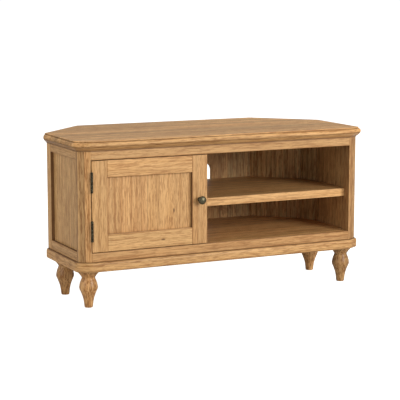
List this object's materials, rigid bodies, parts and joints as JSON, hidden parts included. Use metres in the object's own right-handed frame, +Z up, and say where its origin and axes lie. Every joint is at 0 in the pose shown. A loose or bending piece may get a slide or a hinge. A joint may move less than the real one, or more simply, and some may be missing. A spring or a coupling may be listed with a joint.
{
  "type": "corner tv cabinet",
  "caption": "Corner television cabinet in oak with a panelled door, an open bay with a shelf, a moulded top, a rounded plinth and turned feet.",
  "frame": {"origin": "on the floor, under the middle of the whole cabinet's box, which runs from the knob at the front to the back", "axes": "+X to the right seen from the front, +Y from the front towards the corner of the room, +Z up"},
  "size_m": [0.99, 0.472, 0.505],
  "materials": {
    "oak": "honey oak under satin lacquer",
    "inner_oak": "oak veneer under thin satin lacquer",
    "antique_metal": "dark antique plate with worn edges",
    "steel": "zinc plated",
    "catch_plastic": "moulded, off-white"
  },
  "bodies": {
    "carcass": {"top_board": "oak", "top_moulding_front": "oak", "top_moulding_left": "oak", "top_moulding_right": "oak", "front_post_left": "oak", "front_post_right": "oak", "front_rail_top": "oak", "front_rail_bottom": "oak", "side_rail_top_left": "oak", "side_rail_top_right": "oak", "side_rail_bottom_left": "oak", "side_rail_bottom_right": "oak", "side_panel_left": "oak", "side_panel_right": "oak", "rear_post_left": "oak", "rear_post_right": "oak", "back_post_left": "inner_oak", "back_post_right": "inner_oak", "back_rail_top": "inner_oak", "back_rail_bottom": "inner_oak", "corner_rail_top_left": "inner_oak", "corner_rail_top_right": "inner_oak", "corner_rail_bottom_left": "inner_oak", "corner_rail_bottom_right": "inner_oak", "back_panel": "inner_oak", "corner_panel_left": "inner_oak", "corner_panel_right": "inner_oak", "floor_board": "oak", "plinth_front": "oak", "plinth_left": "oak", "plinth_right": "oak", "plinth_back": "inner_oak", "plinth_corner_left": "inner_oak", "plinth_corner_right": "inner_oak", "divider": "oak", "bay_shelf": "oak", "cupboard_shelf": "inner_oak", "shelf_pin_1": "steel", "shelf_pin_2": "steel", "shelf_pin_3": "steel", "shelf_pin_4": "steel", "foot_front_left": "oak", "foot_front_right": "oak", "foot_rear_left": "oak", "foot_rear_right": "oak", "hinge_upper_frame_leaf": "antique_metal", "hinge_lower_frame_leaf": "antique_metal", "hinge_upper_pin": "antique_metal", "hinge_lower_pin": "antique_metal", "magnetic_catch": "catch_plastic"},
    "door": {"door_stile_hinge": "oak", "door_stile_lock": "oak", "door_rail_top": "oak", "door_rail_bottom": "oak", "door_panel": "oak", "knob": "antique_metal", "knob_screw": "steel", "hinge_upper_door_leaf": "antique_metal", "hinge_lower_door_leaf": "antique_metal", "strike_plate": "steel"}
  },
  "joints": [
    {"name": "door_hinge", "type": "hinge", "parent": "carcass", "child": "door", "pos_m": [-0.443, -0.2142, 0.309], "axis": [0, 0, -1], "range_deg": [0, 170]}
  ]
}
